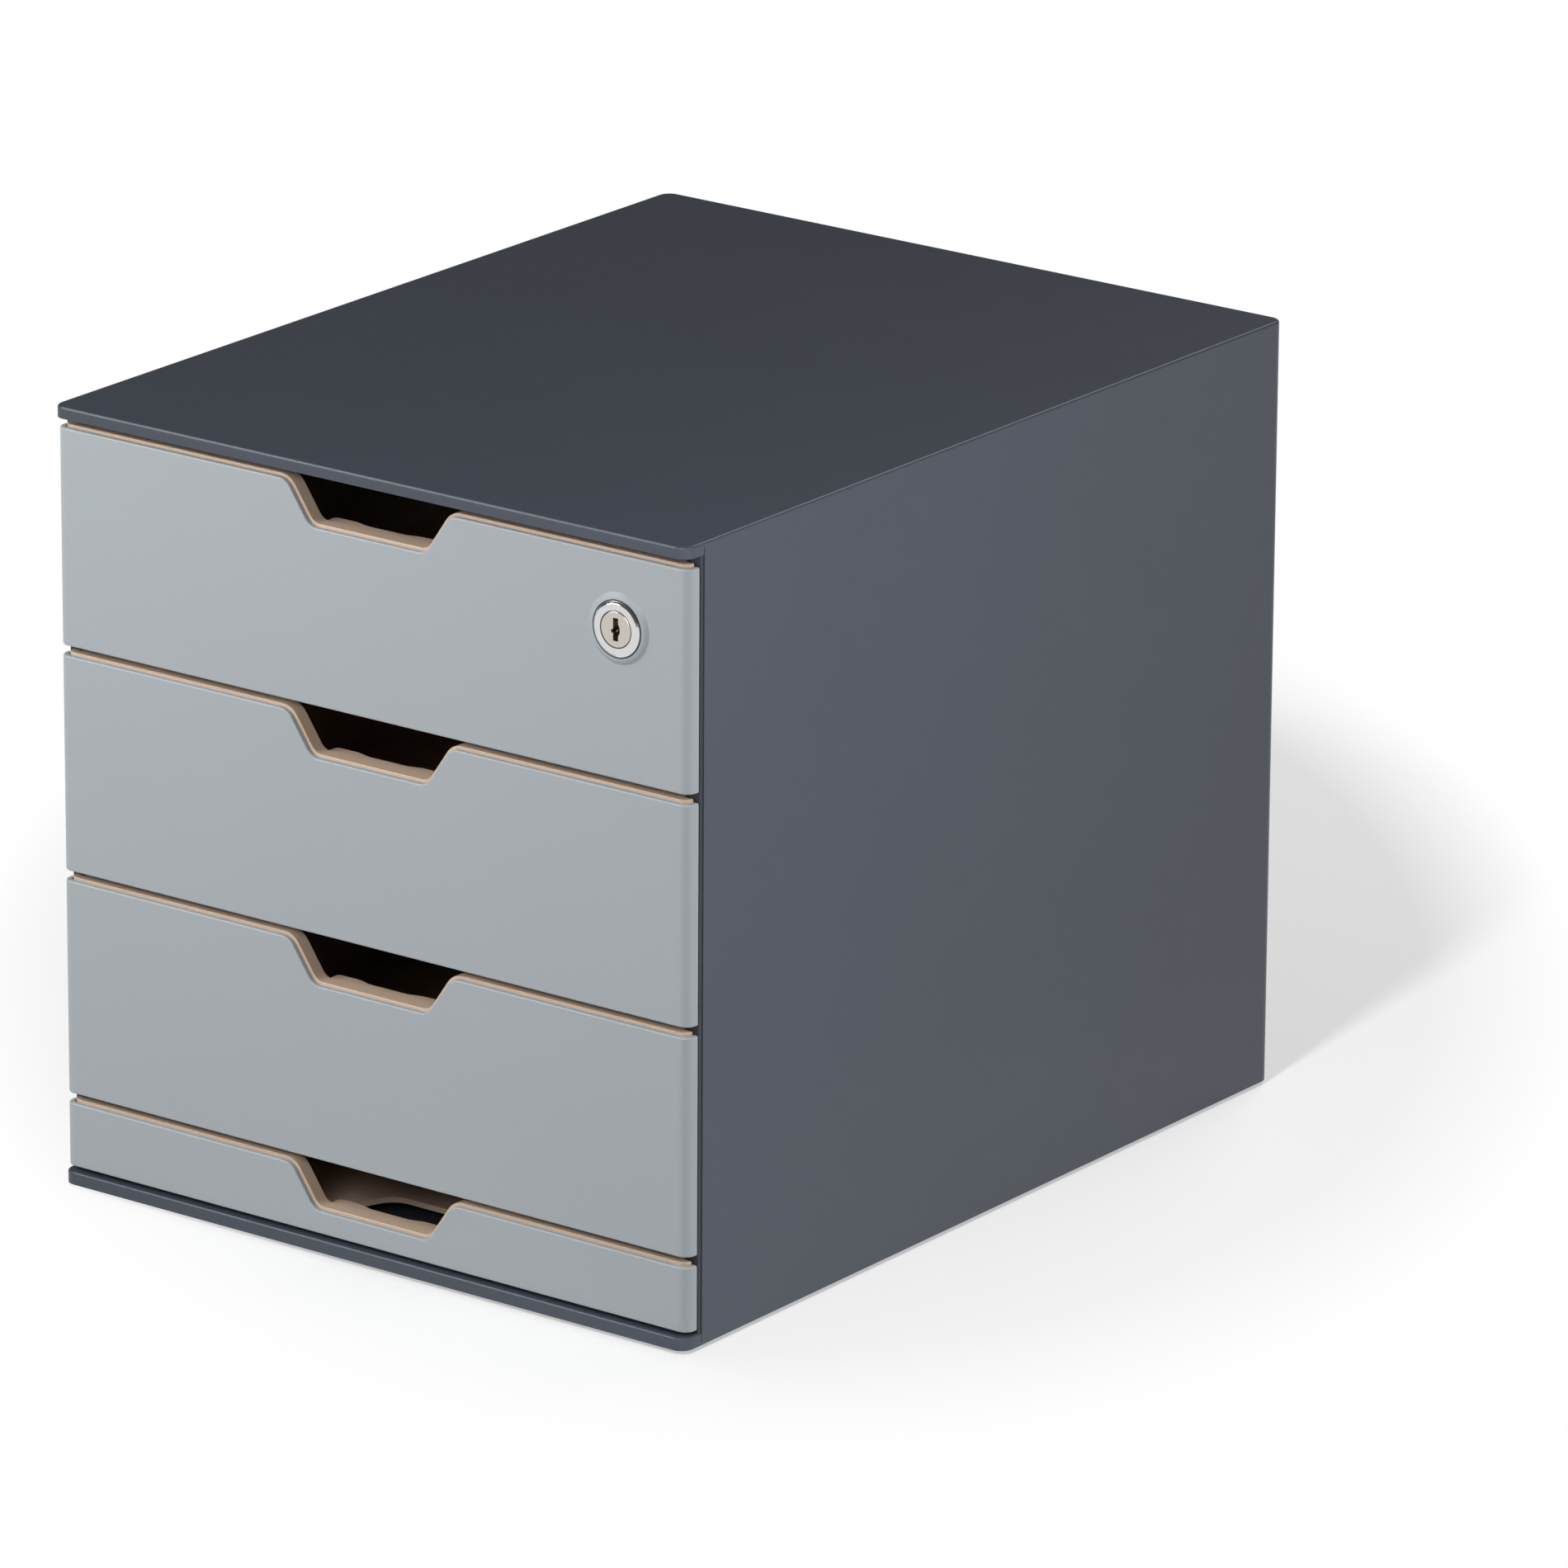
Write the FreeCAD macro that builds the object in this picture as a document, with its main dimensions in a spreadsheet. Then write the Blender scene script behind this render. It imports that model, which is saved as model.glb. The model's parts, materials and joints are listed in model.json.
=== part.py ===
"""Desktop file drawer: a moulded casing with four drawers, the top one with a cam lock.

Frame: +Z up, +Y towards the back, origin at the middle of the footprint on the table.
All lengths are in mm. A piece that stands upright and faces the front is drawn on the XZ plane.
The offset of such a sketch is counted forwards: it is the distance in front of the casing's middle.
"""

import FreeCAD, Part
import math
import os
import Sketcher

DIMENSIONS = {
    # casing
    "width": 280.0,
    "depth": 356.0,
    "height": 292.0,
    "foot_proud": 1.5,
    "foot_radius": 8.0,
    "foot_stem": 3.0,
    "foot_edge": 0.6,
    "foot_across": 118.0,
    "foot_along": 150.0,
    "plan_radius": 5.0,
    "edge_radius": 1.0,
    "side_skin": 2.5,
    "top_skin": 3.0,
    "back_skin": 3.0,
    "back_frame": 12.0,
    "window_radius": 4.0,
    "top_lip": 4.4,
    "base_lip": 4.7,
    "lip_depth": 10.0,
    "lip_edge": 0.7,
    "base_flange": 1.2,
    "base_skin": 2.5,
    "joint_line": 0.35,
    "back_panel_skin": 2.5,
    "fit_gap": 0.2,
    "overlap": 0.5,
    "overcut": 1.0,
    # runner panels
    "liner_skin": 2.0,
    "strip_depth": 1.55,
    "strip_recess": 0.3,
    "strip_gap": 1.0,
    "strip_join": 0.45,
    "rail_reach": 5.0,
    "guide_reach": 3.3,
    "rail_skin": 2.0,
    "rail_start": 160.0,
    "rail_length": 328.0,
    "rail_gap": 0.3,
    "guide_gap": 0.4,
    "lug_length": 2.0,
    "lug_reach": 1.5,
    "liner_foot": 11.3,
    "liner_foot_skin": 2.8,
    # drawer fronts
    "front_inset": 1.9,
    "front_deep": 5.2,
    "front_skin": 1.9,
    "front_corner": 4.0,
    "front_edge": 0.7,
    "front_lower_edge": 0.6,
    "front_return": 1.6,
    "lowest_front": 7.7,
    "pitch_low": 27.7,
    "pitch_tall": 84.0,
    "front_gap": 3.7,
    "notch_top_half": 36.2,
    "notch_bottom_half": 25.6,
    "notch_depth": 15.5,
    "notch_top_round": 6.5,
    "notch_bottom_round": 6.0,
    "boss_radius": 3.5,
    # trays
    "tray_half": 129.5,
    "tray_foot": 1.2,
    "tray_skin": 2.0,
    "tray_back": 162.0,
    "tray_corner": 8.0,
    "tray_floor_round": 3.0,
    "tray_under_round": 1.5,
    "band_half": 137.7,
    "band_corner": 3.0,
    "band_skin": 2.0,
    "band_edge": 0.4,
    "band_rise": 1.1,
    "wall_half": 134.0,
    "rim_half": 133.5,
    "rim_back": 164.0,
    "rim_skin": 2.0,
    "ledge_half": 24.0,
    "ledge_dip_half": 8.6,
    "ledge_dip_end": 14.4,
    "ledge_dip_round": 8.0,
    "ledge_corner": 1.5,
    "ledge_reach": 5.4,
    "ledge_dip": 1.6,
    "ledge_drop": 0.3,
    "ledge_skin": 1.8,
    "cutout_front_half": 31.0,
    "cutout_back_half": 21.0,
    "cutout_front": 160.0,
    "cutout_back": 136.0,
    "cutout_round": 9.0,
    "cutout_front_round": 3.0,
    "tab_reach": 1.5,
    "tab_length": 4.0,
    "travel": 250.0,
    "stop_gap": 0.3,
    # screws
    "screw_radius": 1.5,
    "screw_clear": 1.7,
    "screw_head": 3.0,
    "screw_head_deep": 2.0,
    "screw_sink": 1.4,
    "screw_fit": 0.02,
    "front_screw_across": 70.0,
    "front_screw_outer": 112.0,
    "front_screw_length": 4.2,
    "back_screw_inset": 6.0,
    "base_screw_inset": 3.8,
    "base_screw_along": 120.0,
    "case_screw_length": 3.5,
    "small_screw_radius": 1.2,
    "small_screw_head": 2.4,
    "small_screw_head_deep": 1.0,
    "small_screw_length": 3.3,
    "small_screw_pilot": 2.1,
    # lock
    "lock_across": 109.7,
    "lock_up": 257.6,
    "collar_radius": 12.9,
    "collar_crown": 11.3,
    "collar_rise": 1.15,
    "collar_edge": 2.8,
    "bezel_radius": 10.15,
    "bezel_crown": 9.1,
    "bezel_rise": 0.7,
    "bezel_round": 0.5,
    "barrel_radius": 8.2,
    "barrel_back": 159.4,
    "plug_radius": 6.4,
    "plug_clear": 0.06,
    "plug_proud": 0.05,
    "lock_chamfer": 0.25,
    "nut_flats": 11.0,
    "nut_deep": 4.0,
    "washer_radius": 11.0,
    "washer_deep": 0.8,
    "keyway_deep": 13.0,
    "keyway_half": 4.1,
    "wafer_deep": 0.8,
    "wafer_pitch": 1.8,
    "wafer_half": 4.0,
    "wafer_tall": 6.1,
    "wafer_first": 174.0,
    "wafer_slack": 0.05,
    "wafer_chamfer": 1.9,
    "wafer_window_half": 2.2,
    "wafer_window_tall": 4.4,
    "tang_half": 3.0,
    "tang_slack": 0.05,
    "tang_corner": 0.6,
    "cam_skin": 2.0,
    "cam_length": 28.0,
    "cam_half": 6.0,
    "cam_corner": 2.0,
    "cam_end_round": 5.7,
    "cam_gap": 0.2,
    "cam_screw_radius": 2.0,
    "cam_screw_head": 4.0,
    "cam_screw_head_deep": 2.4,
    "cam_screw_length": 8.0,
    "cam_washer_radius": 5.0,
    # strike
    "strike_skin": 1.5,
    "strike_half": 11.5,
    "strike_front": 167.4,
    "strike_back": 160.2,
    "strike_drop": 7.5,
    "strike_bend": 1.5,
    "strike_bend_inside": 0.4,
    "strike_screw_across": 7.5,
}

WAFERS = 6
DRAWERS = 4
FRONT_SCREW_UP = {"tall": (18.0, 58.0), "low": (10.0, 10.0)}
SIDES = {"left": -1, "right": 1}
# key slot with its side wards: millimetres across, and shares of its half height
KEYWAY = [(-1.1, 1.0), (-1.1, 0.05), (-1.9, -0.05), (-1.9, -0.25), (-1.1, -0.38), (-1.1, -1.0),
          (1.1, -1.0), (1.1, -0.5), (1.75, -0.3), (1.75, 0.25), (1.1, 0.5), (1.1, 1.0)]
# cross recess of a screw, as shares of the head's radius and depth
RECESS_LENGTH = 1.3
RECESS_WIDTH = 0.28
RECESS_DEPTH = 0.45

DOC = FreeCAD.newDocument("file_drawer")
PIECES = []

# distances in front of the middle of the casing
LIP = "dims.depth / 2"
FACE = "(dims.depth / 2 - dims.front_inset)"
BAND = "(dims.depth / 2 - dims.front_inset - dims.front_skin)"
WALL = "(dims.depth / 2 - dims.front_inset - dims.front_deep)"
INNER = "(dims.depth / 2 - dims.front_inset - dims.front_deep - dims.tray_skin)"
COLLAR = "(dims.depth / 2 - dims.front_inset + dims.collar_rise)"
BEZEL = "(dims.depth / 2 - dims.front_inset + dims.collar_rise + dims.bezel_rise)"
PLUG = "(dims.depth / 2 - dims.front_inset + dims.collar_rise + dims.bezel_rise + dims.plug_proud)"
CAM = "(dims.barrel_back - dims.cam_gap)"
STRIP = "(dims.depth / 2 - dims.front_inset - dims.front_deep - dims.strip_gap)"
# where the casing's sides start, behind the two lips
SHELL_FRONT = "(dims.lip_depth + 0.1 - dims.depth / 2)"
# heights above the table
BASE_TOP = "(dims.foot_proud + dims.base_skin)"
FLANGE_TOP = "(dims.foot_proud + dims.base_flange)"
CEILING = "(dims.height - dims.top_skin)"
# half widths
LINER_OUT = "(dims.width / 2 - dims.side_skin - dims.fit_gap)"
LINER_IN = "(dims.width / 2 - dims.side_skin - dims.fit_gap - dims.liner_skin)"


def make_sheet():
    sheet = DOC.addObject("Spreadsheet::Sheet", "dims")
    for row, (name, value) in enumerate(DIMENSIONS.items(), start=1):
        sheet.set(f"A{row}", str(value))
        sheet.setAlias(f"A{row}", name)
    DOC.recompute()


def front_name(number):
    """The lowest drawer, number 4, is one module high and the others are three."""
    return "low" if number == DRAWERS else "tall"


def front_height(number):
    return f"(dims.pitch_{front_name(number)} - dims.front_gap)"


def front_foot(number):
    """Height above the table of a drawer front's lower edge; drawer 1 is at the top."""
    if number == DRAWERS:
        return "dims.lowest_front"
    return f"(dims.lowest_front + dims.pitch_low + {DRAWERS - 1 - number} * dims.pitch_tall)"


def rim_height(number):
    return f"({front_foot(number)} + {front_height(number)})"


# ---------------------------------------------------------------- sketches and features


def new_body(label):
    body = DOC.addObject("PartDesign::Body", label)
    body.Label = label
    PIECES.append(body)
    return body


def sketch_on(body, role, offset):
    plane = next(f for f in body.Origin.OriginFeatures if f.Role == role)
    sketch = body.newObject("Sketcher::SketchObject", "Sketch")
    sketch.AttachmentSupport = (plane, [""])
    sketch.MapMode = "FlatFace"
    sketch.setExpression("AttachmentOffset.Base.z", offset)
    return sketch


def bind(sketch, constraint, expression):
    index = sketch.addConstraint(constraint)
    sketch.setExpression(f"Constraints[{index}]", expression)


def pin_point(sketch, geometry, place, across, up):
    """Holds a point of the sketch at bound distances from the sketch's origin."""
    x = float(sketch.evalExpression(across))
    y = float(sketch.evalExpression(up))
    bind(sketch, Sketcher.Constraint("DistanceX", -1, 1, geometry, place, x), across)
    bind(sketch, Sketcher.Constraint("DistanceY", -1, 1, geometry, place, y), up)


def corner_arc(before, corner, after, radius):
    """The arc that rounds a corner: centre, angles, where it starts and ends, and whether it turns left."""
    into = (before - corner).normalize()
    out = (after - corner).normalize()
    half = into.getAngle(out) / 2
    centre = corner + (into + out).normalize() * (radius / math.sin(half))
    touch_in = corner + into * (radius / math.tan(half))
    touch_out = corner + out * (radius / math.tan(half))
    left = into.cross(out).z < 0
    first, last = (touch_in, touch_out) if left else (touch_out, touch_in)
    angles = [math.atan2(p.y - centre.y, p.x - centre.x) for p in (first, last)]
    return centre, angles, touch_in, touch_out, left


def outline(sketch, corners):
    """Closed outline from corners (across, up) or (across, up, radius), each an expression."""
    values = [[float(sketch.evalExpression(e)) for e in corner] for corner in corners]
    places = [FreeCAD.Vector(v[0], v[1], 0) for v in values]
    count = len(corners)
    arcs = {}
    enters = list(places)
    leaves = list(places)
    for i, value in enumerate(values):
        if len(value) == 3:
            arcs[i] = corner_arc(places[i - 1], places[i], places[(i + 1) % count], value[2])
            enters[i], leaves[i] = arcs[i][2], arcs[i][3]
    lines = [sketch.addGeometry(Part.LineSegment(leaves[i], enters[(i + 1) % count]))
             for i in range(count)]
    for i, corner in enumerate(corners):
        point = sketch.addGeometry(Part.Point(places[i]), True)
        pin_point(sketch, point, 1, corner[0], corner[1])
        if i not in arcs:
            sketch.addConstraint(Sketcher.Constraint("Coincident", lines[i - 1], 2, point, 1))
            sketch.addConstraint(Sketcher.Constraint("Coincident", lines[i], 1, point, 1))
            continue
        centre, angles, _, _, left = arcs[i]
        circle = Part.Circle(centre, FreeCAD.Vector(0, 0, 1), values[i][2])
        arc = sketch.addGeometry(Part.ArcOfCircle(circle, *angles))
        first, last = (1, 2) if left else (2, 1)
        sketch.addConstraint(Sketcher.Constraint("Tangent", lines[i - 1], 2, arc, first))
        sketch.addConstraint(Sketcher.Constraint("Tangent", arc, last, lines[i], 1))
        sketch.addConstraint(Sketcher.Constraint("PointOnObject", point, 1, lines[i - 1]))
        sketch.addConstraint(Sketcher.Constraint("PointOnObject", point, 1, lines[i]))
        bind(sketch, Sketcher.Constraint("Radius", arc, values[i][2]), corner[2])


def rectangle(sketch, low, high, radius=None):
    """Rectangle from its low to its high corner, with rounded corners if a radius is given."""
    corners = [(low[0], low[1]), (high[0], low[1]), (high[0], high[1]), (low[0], high[1])]
    if radius:
        corners = [(*corner, radius) for corner in corners]
    outline(sketch, corners)


def circle(sketch, across, up, radius):
    x, y, r = (float(sketch.evalExpression(e)) for e in (across, up, radius))
    ring = sketch.addGeometry(Part.Circle(FreeCAD.Vector(x, y, 0), FreeCAD.Vector(0, 0, 1), r))
    pin_point(sketch, ring, 3, across, up)
    bind(sketch, Sketcher.Constraint("Radius", ring, r), radius)


def pad(body, sketch, length, reverse=False):
    feature = body.newObject("PartDesign::Pad", "Pad")
    feature.Profile = sketch
    feature.setExpression("Length", length)
    feature.Reversed = reverse
    DOC.recompute()
    return feature


def narrowed_pad(body, sketch, length, narrowing):
    """A pad whose outline is drawn in by a distance all round at its far end."""
    feature = pad(body, sketch, length)
    feature.setExpression("TaperAngle", f"-atan({narrowing} / ({length}))")
    DOC.recompute()


def pocket(body, sketch, length, reverse=False):
    """Cuts against the sketch's normal, or along it if reversed; stops if it removes nothing."""
    before = body.Shape.Volume
    feature = body.newObject("PartDesign::Pocket", "Pocket")
    feature.Profile = sketch
    feature.setExpression("Length", length)
    feature.Reversed = reverse
    DOC.recompute()
    if not body.Shape.Volume < before - 0.01:
        raise RuntimeError(f"a pocket of {body.Label} removes nothing")
    return feature


def edges_where(shape, wanted):
    return [f"Edge{i}" for i, edge in enumerate(shape.Edges, start=1) if wanted(edge.BoundBox)]


def soften(body, kind, wanted, size):
    """Fillet or chamfer on the edges whose boxes are wanted."""
    names = edges_where(body.Tip.Shape, wanted)
    if not names:
        raise RuntimeError(f"no edge of {body.Label} is wanted for a {kind}")
    base = body.Tip
    feature = body.newObject(f"PartDesign::{kind}", kind)
    feature.Base = (base, names)
    feature.setExpression("Radius" if kind == "Fillet" else "Size", size)
    DOC.recompute()


def near(a, b):
    return abs(a - b) < 0.02


def number_of(expression):
    return float(DOC.dims.evalExpression(expression.replace("dims.", "")))


def spread(side, inner, outer):
    """The low and the high of two distances from the middle, on the left (-1) or right (1) side."""
    edges = (f"{side} * {inner}", f"{side} * {outer}")
    return edges if side > 0 else edges[::-1]


# ---------------------------------------------------------------- casing


def casing_shell():
    body = new_body("casing_shell")
    plan = sketch_on(body, "XY_Plane", FLANGE_TOP)
    rectangle(plan, ("-dims.width / 2", "-dims.depth / 2"), ("dims.width / 2", "dims.depth / 2"),
              "dims.plan_radius")
    pad(body, plan, f"dims.height - {FLANGE_TOP}")
    top = number_of("dims.height")
    soften(body, "Fillet", lambda box: near(box.ZMin, top), "dims.edge_radius")

    front = sketch_on(body, "XY_Plane", "dims.height - dims.top_lip")
    rectangle(front, ("-dims.width", "-dims.depth"), ("dims.width", SHELL_FRONT))
    pocket(body, front, "dims.height")

    inside = sketch_on(body, "XY_Plane", CEILING)
    wall = "(dims.width / 2 - dims.side_skin)"
    rectangle(inside, (f"-{wall}", f"{SHELL_FRONT} - 0.1"),
              (wall, "dims.depth / 2 - dims.back_skin"))
    pocket(body, inside, "dims.height")

    window = sketch_on(body, "XZ_Plane", "0")
    reach = f"({wall} - dims.back_frame)"
    rectangle(window, (f"-{reach}", f"{FLANGE_TOP} + dims.back_frame"),
              (reach, f"{CEILING} - dims.back_frame"), "dims.window_radius")
    pocket(body, window, "dims.depth")

    line = sketch_on(body, "XY_Plane", "dims.height - dims.edge_radius - dims.joint_line")
    for side in SIDES.values():
        low, high = spread(side, "(dims.width / 2 - dims.joint_line)", "dims.width")
        rectangle(line, (low, f"{SHELL_FRONT} - dims.joint_line"), (high, SHELL_FRONT))
    pocket(body, line, "dims.top_lip")

    sunk_holes(body, "XZ_Plane", f"-{LIP}", "dims.back_skin", back_screw_places())
    pilots = sketch_on(body, "XY_Plane", CEILING)
    for across in strike_screw_places():
        circle(pilots, across, strike_screw_along(), "dims.small_screw_radius")
    pocket(body, pilots, "dims.small_screw_pilot", reverse=True)


def sunk_holes(body, role, outside, skin, places):
    """Clearance holes through a skin, with their heads sunk from its outside."""
    holes = sketch_on(body, role, f"{outside} + {skin} + dims.overcut")
    sinks = sketch_on(body, role, f"{outside} + dims.screw_sink")
    for across, up in places:
        circle(holes, across, up, "dims.screw_clear")
        circle(sinks, across, up, "dims.screw_head + dims.fit_gap")
    pocket(body, holes, f"{skin} + 2 * dims.overcut")
    pocket(body, sinks, "dims.screw_sink + dims.overcut")


def back_screw_places():
    across = "(dims.width / 2 - dims.side_skin - dims.back_frame / 2)"
    low = f"({FLANGE_TOP} + dims.back_frame + dims.back_screw_inset)"
    high = f"({CEILING} - dims.back_frame - dims.back_screw_inset)"
    return [(f"{side} * {across}", up) for side in SIDES.values() for up in (low, high)]


def base_screw_places():
    across = f"({LINER_IN} - dims.base_screw_inset)"
    return [(f"{side} * {across}", f"{step} * dims.base_screw_along")
            for side in SIDES.values() for step in (-1, 0, 1)]


def strike_screw_places():
    return [f"(dims.lock_across + {side} * dims.strike_screw_across)" for side in (-1, 1)]


def strike_screw_along():
    return "-(dims.strike_front + dims.strike_back + dims.strike_skin) / 2"


def foot_places():
    return {f"foot_{end}_{name}": (f"{side} * dims.foot_across", f"{way} * dims.foot_along")
            for end, way in (("front", -1), ("rear", 1)) for name, side in SIDES.items()}


def base_plate():
    body = new_body("base_plate")
    plan = sketch_on(body, "XY_Plane", "dims.foot_proud")
    rectangle(plan, ("-dims.width / 2", "-dims.depth / 2"), ("dims.width / 2", "dims.depth / 2"),
              "dims.plan_radius")
    pad(body, plan, "dims.base_flange")

    floor = sketch_on(body, "XY_Plane", "dims.foot_proud")
    rectangle(floor, (f"-{LINER_OUT}", f"{SHELL_FRONT} - dims.overlap"),
              (LINER_OUT, "dims.depth / 2 - dims.back_skin - dims.fit_gap"))
    pad(body, floor, "dims.base_skin")

    lip = sketch_on(body, "XY_Plane", "dims.foot_proud")
    back = f"({SHELL_FRONT} - dims.joint_line)"
    half = "dims.width / 2"
    outline(lip, [(f"-{half}", back), (f"-{half}", "-dims.depth / 2", "dims.plan_radius"),
                  (half, "-dims.depth / 2", "dims.plan_radius"), (half, back)])
    pad(body, lip, "dims.base_lip")

    lip_top = number_of("dims.foot_proud + dims.base_lip")
    lip_back = number_of(back)
    soften(body, "Fillet", lambda box: near(box.ZMin, lip_top) and not near(box.YMin, lip_back),
           "dims.lip_edge")

    stems = sketch_on(body, "XY_Plane", f"{BASE_TOP} + dims.overcut")
    for across, along in foot_places().values():
        circle(stems, across, along, "dims.foot_stem")
    pocket(body, stems, "dims.base_skin + 2 * dims.overcut")
    sunk_holes(body, "XY_Plane", "dims.foot_proud", "dims.base_skin", base_screw_places())


def back_panel():
    body = new_body("back_panel")
    face = sketch_on(body, "XZ_Plane", f"dims.back_skin + dims.fit_gap - {LIP}")
    rectangle(face, (f"-{LINER_OUT}", f"{BASE_TOP} + dims.fit_gap"),
              (LINER_OUT, f"{CEILING} - dims.fit_gap"))
    pad(body, face, "dims.back_panel_skin")
    pilots = sketch_on(body, "XZ_Plane", f"dims.back_skin - {LIP}")
    for across, up in back_screw_places():
        circle(pilots, across, up, "dims.screw_radius + dims.screw_fit")
    pocket(body, pilots, "dims.back_panel_skin + dims.overcut", reverse=True)


def runner_panel(name, side):
    """Side liner: a plate with a front strip, a foot and three ribs for each drawer."""
    body = new_body(f"runner_panel_{name}")
    plate_front = f"(dims.strip_depth + dims.strip_join - {STRIP})"
    plate_back = "(dims.depth / 2 - dims.back_skin - dims.back_panel_skin - 2 * dims.fit_gap)"
    plate = sketch_on(body, "XY_Plane", BASE_TOP)
    across = spread(side, LINER_IN, LINER_OUT)
    rectangle(plate, (across[0], plate_front), (across[1], plate_back))
    pad(body, plate, f"{CEILING} - dims.fit_gap - {BASE_TOP}")

    strip = sketch_on(body, "XY_Plane", "dims.foot_proud + dims.base_lip + dims.fit_gap")
    strip_back = f"(dims.strip_depth - {STRIP})"
    strip_out = "(dims.width / 2 - dims.strip_recess)"
    corners = [(LINER_IN, f"-{STRIP}"), (strip_out, f"-{STRIP}"), (strip_out, strip_back),
               (LINER_OUT, strip_back), (LINER_OUT, plate_front), (LINER_IN, plate_front)]
    outline(strip, [(f"{side} * {x}", y) for x, y in corners])
    lips = "(dims.top_lip + dims.foot_proud + dims.base_lip)"
    pad(body, strip, f"dims.height - {lips} - 2 * dims.fit_gap")

    root = f"({LINER_IN} + dims.overlap)"
    drawer_ribs(body, side, root)
    foot_strip = sketch_on(body, "XY_Plane", BASE_TOP)
    across = spread(side, f"({LINER_OUT} - dims.liner_foot)", root)
    rectangle(foot_strip, (across[0], "-dims.rail_start"), (across[1], "dims.rail_start"))
    pad(body, foot_strip, "dims.liner_foot_skin")
    pilots = sketch_on(body, "XY_Plane", BASE_TOP)
    for x, y in base_screw_places():
        if number_of(x) * side > 0:
            circle(pilots, x, y, "dims.screw_radius + dims.screw_fit")
    pocket(body, pilots, "dims.liner_foot_skin + dims.overcut", reverse=True)


def drawer_ribs(body, side, root):
    """For each drawer a ledge below its flange, a guide above it and a lug that stops it."""
    rails = sketch_on(body, "XZ_Plane", "dims.rail_start")
    lugs = sketch_on(body, "XZ_Plane", "dims.rail_start")
    ledge_across = spread(side, f"({LINER_IN} - dims.rail_reach)", root)
    guide_across = spread(side, f"({LINER_IN} - dims.guide_reach)", root)
    lug_across = spread(side, f"({LINER_IN} - dims.lug_reach)", root)
    for number in range(1, DRAWERS + 1):
        ledge_top = f"({rim_height(number)} - dims.rim_skin - dims.rail_gap)"
        guide_foot = f"({rim_height(number)} + dims.guide_gap)"
        rectangle(rails, (ledge_across[0], f"{ledge_top} - dims.rail_skin"), (ledge_across[1], ledge_top))
        rectangle(rails, (guide_across[0], guide_foot),
                  (guide_across[1], f"{guide_foot} + dims.rail_skin"))
        rectangle(lugs, (lug_across[0], f"{ledge_top} - dims.overlap"),
                  (lug_across[1], f"{guide_foot} + dims.overlap"))
    pad(body, rails, "dims.rail_length", reverse=True)
    pad(body, lugs, "dims.lug_length", reverse=True)


# ---------------------------------------------------------------- drawers


def notch_shift(offset):
    """How far the notch's corners move sideways when its outline is offset into the wall."""
    slope = "atan(dims.notch_depth / (dims.notch_top_half - dims.notch_bottom_half))"
    return f"({offset}) * tan({slope} / 2)"


def notch_path(top, offset):
    """The notch's four corners from left to right, offset into the wall below a rim's height."""
    high = f"({top} - ({offset}))"
    low = f"({top} - dims.notch_depth - ({offset}))"
    top_half = f"(dims.notch_top_half + {notch_shift(offset)})"
    bottom_half = f"(dims.notch_bottom_half + {notch_shift(offset)})"
    top_round = f"dims.notch_top_round - ({offset})"
    bottom_round = f"dims.notch_bottom_round + ({offset})"
    return [(f"-{top_half}", high, top_round), (f"-{bottom_half}", low, bottom_round),
            (bottom_half, low, bottom_round), (top_half, high, top_round)]


def cut_notch(body, forward, top, offset, depth):
    """Opens the notch from a plane towards the back."""
    sketch = sketch_on(body, "XZ_Plane", forward)
    high = f"({top} - ({offset}))"
    side = "dims.notch_top_half * 1.6"
    path = [(f"-{side}", high), *notch_path(top, offset), (side, high)]
    outline(sketch, [(f"-{side}", f"{high} + 5"), *path, (side, f"{high} + 5")])
    pocket(body, sketch, depth)


def front_screw_places(number):
    """Four screws: two rows of two, or for the low drawer one row of four."""
    low, high = FRONT_SCREW_UP[front_name(number)]
    second = "dims.front_screw_outer" if number == DRAWERS else "dims.front_screw_across"
    return [(f"{side} * {across}", str(up))
            for side in SIDES.values()
            for across, up in (("dims.front_screw_across", low), (second, high))]


def tray(number):
    body = new_body(f"tray_{number}")
    top = front_height(number)
    floor_top = "(dims.tray_foot + dims.tray_skin)"
    tray_box(body, top, floor_top)
    runner_flange(body, top)
    front_wall(body, top)
    ledge(body, top)
    floor_cutout(body, floor_top)
    stop_tabs(body, top)
    holes = sketch_on(body, "XZ_Plane", f"{WALL} + dims.overcut")
    for across, up in front_screw_places(number):
        circle(holes, across, up, "dims.screw_clear")
    pocket(body, holes, "dims.tray_skin + 2 * dims.overcut")
    if number == 1:
        lock_seat(body)
    body.setExpression("Placement.Base.z", front_foot(number))


def tray_box(body, top, floor_top):
    box = sketch_on(body, "XY_Plane", "dims.tray_foot")
    outline(box, [("-dims.tray_half", f"-{WALL}"), ("dims.tray_half", f"-{WALL}"),
                  ("dims.tray_half", "dims.tray_back", "dims.tray_corner"),
                  ("-dims.tray_half", "dims.tray_back", "dims.tray_corner")])
    pad(body, box, f"{top} - dims.tray_foot")
    foot_z = number_of("dims.tray_foot")
    wall_y = -number_of(WALL)
    soften(body, "Fillet", lambda b: near(b.ZMax, foot_z) and not near(b.YMax, wall_y),
           "dims.tray_under_round")

    hollow = sketch_on(body, "XY_Plane", top)
    inner = "(dims.tray_half - dims.tray_skin)"
    rectangle(hollow, (f"-{inner}", f"-{INNER}"), (inner, "dims.tray_back - dims.tray_skin"),
              "dims.tray_corner - dims.tray_skin")
    pocket(body, hollow, f"{top} - {floor_top}")
    floor_z = number_of(floor_top)
    soften(body, "Fillet", lambda b: near(b.ZMax, floor_z) and near(b.ZMin, floor_z),
           "dims.tray_floor_round")


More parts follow.
